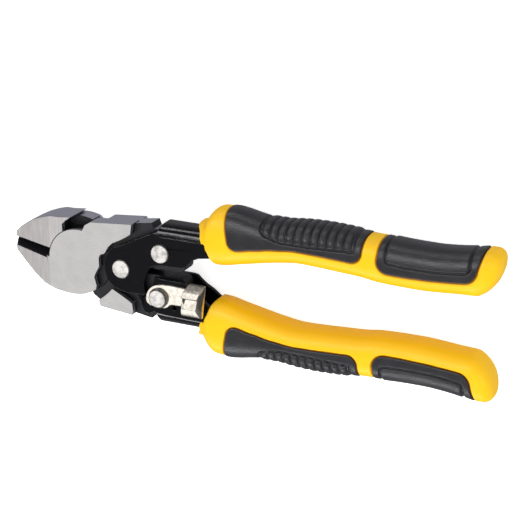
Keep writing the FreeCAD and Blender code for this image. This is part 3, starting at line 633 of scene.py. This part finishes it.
def pad_piece(name, side, shape, relief):
    """Soft pad: rounded shoulders, surface relief, walls going down into the moulding."""
    length = shape.right - shape.left
    rim = np.array([0.0, 0.12, 0.28, 0.5, 0.8])
    u = spaced(int(length / 0.24), rim / length)
    v = 2 * spaced(150, rim / 36.0) - 1
    uu, vv = np.meshgrid(u, v, indexing="ij")
    x, s = shape.place(uu, vv)
    x, s = x.ravel(), s.ravel()
    outline = shape.outline()
    d = -signed_distance(np.stack([x, s], axis=-1), outline)
    d = np.maximum(d, 0.0)
    r = 0.55
    height = PROUD - r + np.sqrt(np.maximum(r * r - (r - np.minimum(d, r))**2, 0.0))
    height = height + relief(x, s) * smoothstep(d, 0.2, 0.8)
    base = GRIP.point(x, s)
    normal = GRIP.normal(x, s)
    top = base + normal * height[:, None]
    low = base - normal * (SUNK + 0.25)
    rows, columns = len(u), len(v)
    faces = grid_faces(rows, columns)
    count = rows * columns
    under = [tuple(count + k for k in reversed(f)) for f in faces]
    ring = [(i, 0) for i in range(rows)] + [(rows - 1, j) for j in range(1, columns)]
    ring += [(i, columns - 1) for i in range(rows - 2, -1, -1)]
    ring += [(0, j) for j in range(columns - 2, 0, -1)]
    ids = [i * columns + j for i, j in ring]
    walls = [(a, b, count + b, count + a) for a, b in zip(ids, ids[1:] + ids[:1])]
    points = np.concatenate([top, low])
    points[:, 1] *= side
    return mesh_object(name, points, faces + under + walls, PAD)


RIB_PITCH = 3.45
RIB_START = 84.3
RIB_COUNT = 11
RIB_END = RIB_START + RIB_COUNT * RIB_PITCH
RIB_CROWN, RIB_GROOVE, RIB_BEAD = 0.40, 0.55, 0.26
BORDER_DEPTH = 0.75
# edge of the ribbed panel: x and distance from the palm line
PANEL_EDGE = [(80.0, 6.0), (83.2, 8.6), (84.7, 10.5), (88.1, 11.5), (94.6, 12.9), (105.3, 13.5),
              (113.5, 13.0), (121.8, 12.2), (128.0, 11.8)]


def ribs(x, s):
    """Cross ribs inside a grooved border, each with a bead near its front end."""
    edge = hermite(*zip(*PANEL_EDGE), x)
    inside = edge - np.abs(s)
    across = smoothstep(inside, 0.1, 0.9)
    part = (x - RIB_START) / RIB_PITCH
    part = part - np.floor(part)
    nearest = np.minimum(part, 1 - part) * RIB_PITCH
    live = smoothstep(x, RIB_START - 0.5, RIB_START) * smoothstep(x, RIB_END + 0.5, RIB_END)
    groove = np.exp(-(nearest / 0.36)**2)
    crown = np.sin(np.pi * part)**0.7
    height = live * across * (RIB_CROWN * crown - RIB_GROOVE * groove)
    bead = np.exp(-((inside - 2.3) / 1.3)**2) * crown**3
    height += live * across * RIB_BEAD * bead
    border = np.exp(-(inside / 0.42)**2) * smoothstep(x, RIB_START - 1.8, RIB_START - 1.0)
    border *= smoothstep(x, RIB_END + 1.4, RIB_END + 0.8)
    left = np.exp(-((x - (RIB_START - 1.1)) / 0.38)**2) * smoothstep(inside, -0.3, 0.2)
    right = np.exp(-((x - (RIB_END + 0.9)) / 0.38)**2) * smoothstep(inside, -0.3, 0.2)
    return height - BORDER_DEPTH * np.maximum(border, np.maximum(left, right))


PANEL_LEFT, PANEL_RIGHT, PANEL_HALF = 136.0, 169.4, 13.3
PANEL_LIFT, PANEL_GROOVE = 0.30, 0.72


def panel(x, s):
    """Raised plain panel framed by a groove, on the pad under the palm."""
    front = PANEL_HALF - np.abs(s)
    ends = np.minimum(x - PANEL_LEFT, PANEL_RIGHT - x)
    corner = 1.6
    near, far = np.minimum(front, ends), np.maximum(front, ends)
    inside = np.where(far < corner, corner - np.hypot(corner - near, corner - far), near)
    groove = np.exp(-((inside + 0.1) / 0.45)**2)
    return PANEL_LIFT * smoothstep(inside, 0.1, 0.9) - PANEL_GROOVE * groove


def stand_in(piece, node, body):
    """Let a piece replace a CAD node and move with a body."""
    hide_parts(node)
    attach(piece, body)


def build_grips():
    for word, side, body in (("upper", 1, "upper_handle"), ("lower", -1, "lower_handle")):
        core = grip_core(f"{word}_grip_moulding", side)
        stand_in(core, f"{word}_grip", body)
        for node, shape, relief in ((f"{word}_front_pad", FRONT_PAD, ribs),
                                    (f"{word}_rear_pad", REAR_PAD, panel)):
            soft = pad_piece(node + "_skin", side, shape, relief)
            stand_in(soft, node, body)


build_grips()


# ------------------------------------------------------------------ CAD nodes kept as they are
def dress(node, material, width=0.0):
    """Give a CAD node its material and, for sharp stampings, a small rounded edge."""
    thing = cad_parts[node]
    thing.data.materials.clear()
    thing.data.materials.append(material)
    if width:
        weld = thing.modifiers.new("weld", "WELD")
        weld.merge_threshold = 1e-6
        bevel = thing.modifiers.new("bevel", "BEVEL")
        bevel.width = width * MM
        bevel.segments = 2
        bevel.limit_method = "ANGLE"
        bevel.angle_limit = math.radians(32)
        bevel.use_clamp_overlap = True
        bevel.harden_normals = True


dress("front_jaw", FRONT_STEEL)
dress("rear_jaw", REAR_STEEL)
for node in ("upper_handle_channel", "lower_handle_channel"):
    dress(node, ENAMEL, 0.3)
for node in ("jaw_pivot_pin", "handle_pivot_sleeve", "upper_link_washers",
             "lower_link_washers"):
    dress(node, OILED)


# ------------------------------------------------------------------ rivets
def lathe(name, centre, profile, material, steps=96):
    """Body of revolution: profile is (radius, height above the middle plane), in mm."""
    points = []
    for radius, height in profile:
        for k in range(steps):
            turn = 2 * math.pi * k / steps
            points.append((centre[0] + radius * math.cos(turn),
                           centre[1] + radius * math.sin(turn), height))
    faces = grid_faces(len(profile), steps, wrap=True)
    faces.append(tuple(reversed(range(steps))))
    faces.append(tuple(range((len(profile) - 1) * steps, len(profile) * steps)))
    return mesh_object(name, points, faces, material)


def head_profile(radius, seat, height, crown):
    """Rivet head from its seat up: straight side, rounded chamfer, crowned top."""
    rim = height - crown
    profile = [(radius, seat), (radius, seat + rim * 0.45)]
    for k in range(1, 7):
        turn = math.radians(15 * k)
        profile.append((radius - 0.5 * (1 - math.cos(turn)),
                        seat + rim * 0.45 + rim * 0.55 * math.sin(turn)))
    inner = radius - 0.5
    for k in range(1, 9):
        r = inner * (1 - k / 8)
        profile.append((max(r, 0.02), seat + rim + crown * (1 - (r / inner)**2)))
    return profile


HINGE = (20.5, 0.0)
UPPER_LINK = (38.6, 9.4)
LOWER_LINK = (38.6, -9.4)
PLATE = 6.9                                    # outer face of the channel plates
HINGE_SHANK, LINK_SHANK = 2.8, 2.6
HEAD, HEAD_HEIGHT = 4.1, 1.15
LATCH_HEAD = 3.95
COLLAR_FOOT, COLLAR_TOP = 8.15, 9.15


def rivet(name, centre, shank, front, material):
    """Turned rivet with a flat-crowned head at the back and the given front profile."""
    back = [(r, -z) for r, z in reversed(head_profile(HEAD, PLATE, HEAD_HEIGHT, 0.14))]
    return lathe(name, centre, back + [(shank, -PLATE), (shank, PLATE)] + front, material)


def build_rivets():
    for node, centre, shank in (("handle_pivot_rivet", HINGE, HINGE_SHANK),
                                ("upper_link_rivet", UPPER_LINK, LINK_SHANK)):
        piece = rivet(node + "_turned", centre, shank,
                      head_profile(HEAD, PLATE, HEAD_HEIGHT, 0.14), RIVET)
        stand_in(piece, node, "upper_handle")
    front = [(LINK_SHANK, COLLAR_TOP)] + head_profile(LATCH_HEAD, COLLAR_TOP, HEAD_HEIGHT, 0.16)
    piece = rivet("lower_link_rivet_turned", LOWER_LINK, LINK_SHANK, front, RIVET)
    stand_in(piece, "lower_link_rivet", "lower_handle")
    bore = LINK_SHANK + 0.02
    collar = [(bore, COLLAR_FOOT), (4.3, COLLAR_FOOT), (4.38, 8.25), (4.4, 8.55), (4.3, 8.9),
              (4.05, 9.08), (4.0, COLLAR_TOP), (bore, COLLAR_TOP)]
    piece = lathe("latch_collar_turned", LOWER_LINK, collar, NICKEL)
    stand_in(piece, "latch_collar", "lower_handle")


build_rivets()


# ------------------------------------------------------------------ return spring
def tube(name, path, radius, material, sides=14):
    """Round wire swept along a path of points in mm."""
    path = np.array(path, float)
    tangent = np.gradient(path, axis=0)
    tangent /= np.linalg.norm(tangent, axis=1, keepdims=True)
    points = []
    across = np.array([0.0, 0.0, 1.0])
    for here, ahead in zip(path, tangent):
        across = across - ahead * np.dot(across, ahead)
        across /= np.linalg.norm(across)
        other = np.cross(ahead, across)
        for k in range(sides):
            turn = 2 * math.pi * k / sides
            points.append(here + radius * (math.cos(turn) * across + math.sin(turn) * other))
    faces = grid_faces(len(path), sides, wrap=True)
    faces.append(tuple(reversed(range(sides))))
    faces.append(tuple(range((len(path) - 1) * sides, len(path) * sides)))
    return mesh_object(name, points, faces, material)


def build_spring():
    """Two turns of wire round the handle pivot, its straight legs between the jaw tails."""
    wire_radius, coil, rise = 0.6, 4.3, 1.25
    leg_start, leg_end, leg_offset = 25.0, 36.2, 0.75
    pace, leg_steps = 0.8, 15
    steps, turns = 48, 2
    path = [(leg_end - pace * k, -leg_offset, -rise) for k in range(leg_steps)]
    for k in range(1, steps * turns):
        turn = 2 * math.pi * k / steps
        path.append((HINGE[0] + coil * math.cos(turn), HINGE[1] + coil * math.sin(turn),
                     -rise + 2 * rise * k / (steps * turns)))
    path += [(leg_start + pace * k, leg_offset, rise) for k in range(leg_steps)]
    wire = tube("return_spring_wire", path, wire_radius, OILED)
    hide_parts("return_spring")
    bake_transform(wire)


build_spring()


# ------------------------------------------------------------------ latch
def sheet_part(name, outline, low, high, round_edge, material):
    """Flat stamping with rounded edges; outline in mm, levels above the middle plane."""
    count = len(outline)
    points = [(x, y, low) for x, y in outline] + [(x, y, high) for x, y in outline]
    faces = [tuple(reversed(range(count))), tuple(range(count, 2 * count))]
    for k in range(count):
        n = (k + 1) % count
        faces.append((k, n, count + n, count + k))
    return finish_sharp(mesh_object(name, points, faces, material, smooth=False), round_edge, 3)


def finish_sharp(piece, round_edge, segments):
    """Round the edges of a sharp-edged piece in its mesh."""
    work = bmesh.new()
    work.from_mesh(piece.data)
    edges = [e for e in work.edges if e.is_manifold and e.calc_face_angle() > math.radians(25)]
    bmesh.ops.bevel(work, geom=edges, offset=round_edge * MM, segments=segments, profile=0.5,
                    affect="EDGES", clamp_overlap=True)
    for face in work.faces:
        face.smooth = True
    work.to_mesh(piece.data)
    work.free()
    return piece


LATCH_LOW, LATCH_HIGH = 7.0, 8.1               # faces of the latch plate
RISER_LOW, RISER_HIGH = 7.2, 10.0
STAMPED_EDGE = 0.25
# section of the thumb tab (y, height) and its ends (y, x)
TEETH = [(-0.3, 9.3), (-0.3, 9.9), (-0.6, 10.3), (-3.8, 11.5), (-4.2, 11.58), (-6.6, 11.35),
         (-6.85, 11.1), (-7.1, 10.2), (-7.5, 10.2), (-11.2, 11.5), (-11.6, 11.58), (-13.9, 11.3),
         (-14.4, 10.6), (-14.4, 9.3)]
TAB_LEFT = [(-14.6, 50.2), (-7.5, 50.2), (-5.0, 50.6), (-0.4, 53.1), (0.0, 53.3)]
TAB_RIGHT = [(-14.6, 59.6), (-13.6, 58.4), (-12.0, 57.1), (-10.0, 56.7), (-7.0, 57.1),
             (-4.0, 58.4), (-0.8, 60.4), (0.0, 60.6)]
PLATE_OUTLINE = [(33.1, -12.7), (32.5, -11.8), (32.3, -10.5), (32.6, -8.8), (33.3, -7.2),
                 (34.4, -5.7), (35.7, -4.7), (37.2, -4.1), (40.0, -3.5), (43.7, -3.3),
                 (51.0, -3.6), (51.0, -11.5), (44.4, -11.7), (43.3, -12.2), (42.4, -13.2),
                 (41.2, -13.8), (36.3, -13.8), (34.3, -13.4)]
RISER_OUTLINE = [(50.2, -13.9), (51.4, -13.9), (51.4, -6.6), (50.2, -6.6)]


def build_latch():
    body = sheet_part("latch_plate", PLATE_OUTLINE, LATCH_LOW, LATCH_HIGH, STAMPED_EDGE, NICKEL)
    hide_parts("latch")
    # thumb tab: saw-tooth profile carried along X between its slanted left and hollow right edge
    rows = 14
    points = []
    for k in range(rows + 1):
        share = k / rows
        for y, z in TEETH:
            left = float(hermite(*zip(*TAB_LEFT), y))
            right = float(hermite(*zip(*TAB_RIGHT), y))
            points.append((left + (right - left) * share, y, z))
    count = len(TEETH)
    faces = grid_faces(rows + 1, count, wrap=True)
    faces.append(tuple(range(count)))
    faces.append(tuple(reversed(range(rows * count, (rows + 1) * count))))
    tab = mesh_object("latch_tab", points, faces, NICKEL, smooth=False)
    finish_sharp(tab, 0.14, 2)
    riser = sheet_part("latch_riser", RISER_OUTLINE, RISER_LOW, RISER_HIGH, STAMPED_EDGE, NICKEL)
    for piece in (body, tab, riser):
        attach(piece, "latch")


build_latch()


# ------------------------------------------------------------------ floor, lights, camera
def lay_floor():
    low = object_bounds()[0][2]
    bpy.ops.mesh.primitive_plane_add(size=6.0, location=(0.05, 0.0, low - 0.0002))
    floor = bpy.context.object
    floor.name = "floor"
    floor.data.materials.append(floor_paper())
    floor.visible_glossy = False
    floor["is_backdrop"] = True


def light_world():
    """Even pale surroundings; mirrors see darker ones, dimmest level with the tool."""
    world = bpy.data.worlds.new("studio")
    bpy.context.scene.world = world
    world.use_nodes = True
    tree = world.node_tree
    background = tree.nodes["Background"]
    direction = tree.nodes.new("ShaderNodeTexCoord").outputs["Generated"]
    split = tree.nodes.new("ShaderNodeSeparateXYZ")
    tree.links.new(direction, split.inputs[0])
    shades = tree.nodes.new("ShaderNodeValToRGB")
    height = tree.nodes.new("ShaderNodeMapRange")
    height.inputs["From Min"].default_value = -1.0
    tree.links.new(split.outputs[2], height.inputs["Value"])
    tree.links.new(height.outputs[0], shades.inputs[0])
    steps = shades.color_ramp.elements
    steps[0].position, steps[0].color = 0.0, (0.30, 0.30, 0.33, 1.0)
    steps[1].position, steps[1].color = 1.0, (0.30, 0.30, 0.31, 1.0)
    for position, level in ((0.45, 0.16), (0.55, 0.10), (0.8, 0.16)):
        step = steps.new(position)
        step.color = (level, level, level * 1.06, 1.0)
    path = tree.nodes.new("ShaderNodeLightPath").outputs["Is Glossy Ray"]
    blend = tree.nodes.new("ShaderNodeMix")
    blend.data_type = "RGBA"
    tree.links.new(path, blend.inputs[0])
    blend.inputs[6].default_value = (0.80, 0.80, 0.81, 1.0)
    tree.links.new(shades.outputs[0], blend.inputs[7])
    tree.links.new(blend.outputs[2], background.inputs[0])
    background.inputs[1].default_value = 1.0


CENTRE = Vector((0.07, 0.0, 0.007))            # what the lights point at


def area(name, heading, distance, size, radiance, diffuse=True, glossy=True, only=None):
    """Rectangular light of the given radiance, seen from the tool along a heading."""
    data = bpy.data.lights.new(name, "AREA")
    data.shape = "RECTANGLE"
    data.size, data.size_y = size
    data.energy = radiance * math.pi * size[0] * size[1]
    lamp = bpy.data.objects.new(name, data)
    back = Vector(heading).normalized()
    along = (Vector((1.0, 0.0, 0.0)) - back * back.x).normalized()
    lamp.location = CENTRE + back * distance
    lamp.rotation_euler = Matrix((along, back.cross(along), back)).transposed().to_euler()
    lamp.visible_diffuse = diffuse
    lamp.visible_glossy = glossy
    bpy.context.scene.collection.objects.link(lamp)
    if only is not None:
        lamp.light_linking.receiver_collection = only


def place_lights():
    """Soft key from the front, and reflector cards that each group of pieces mirrors."""
    metal = bpy.data.collections.new("metal_pieces")
    paint = bpy.data.collections.new("painted_and_moulded_pieces")
    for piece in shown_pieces():
        names = [slot.material.name for slot in piece.material_slots]
        bright = any("steel" in name or "nickel" in name for name in names)
        (metal if bright else paint).objects.link(piece)
    area("key", (0.15, -0.40, 0.92), 1.0, (0.60, 0.60), 5.6, glossy=False)
    area("metal_card", (-0.42, -0.30, 0.86), 0.9, (0.80, 0.80), 1.15, diffuse=False, only=metal)
    area("bend_card", (-0.37, 0.44, 0.80), 0.9, (1.1, 0.17), 9.0, diffuse=False, only=paint)
    area("back_card", (-0.37, 0.92, 0.10), 0.9, (1.1, 0.10), 6.0, diffuse=False, only=paint)
    area("rim_card", (-0.20, -0.88, 0.40), 0.9, (1.1, 0.16), 8.0, diffuse=False, only=paint)
    area("side_card", (0.80, 0.10, 0.55), 0.9, (0.12, 0.6), 6.0, diffuse=False, only=paint)


def place_camera():
    """Camera at the photo's angle; its axes and place are in the frame of the tool."""
    data = bpy.data.cameras.new("photo_angle")
    data.sensor_width = 36.0
    data.lens = 108.68
    data.clip_start = 0.01
    camera = bpy.data.objects.new("photo_angle", data)
    right = Vector((0.9159, 0.0183, -0.4011))
    down = Vector((0.1508, -0.9415, 0.3014))
    ahead = Vector((-0.3721, -0.3365, -0.8650))
    turn = Matrix((right, -down, -ahead)).transposed()
    camera.matrix_world = Matrix.Translation((0.3218, 0.2259, 0.5637)) @ turn.to_4x4()
    scene = bpy.context.scene
    scene.collection.objects.link(camera)
    scene.camera = camera
    scene.view_settings.view_transform = "Standard"


lay_floor()
light_world()
place_lights()
place_camera()
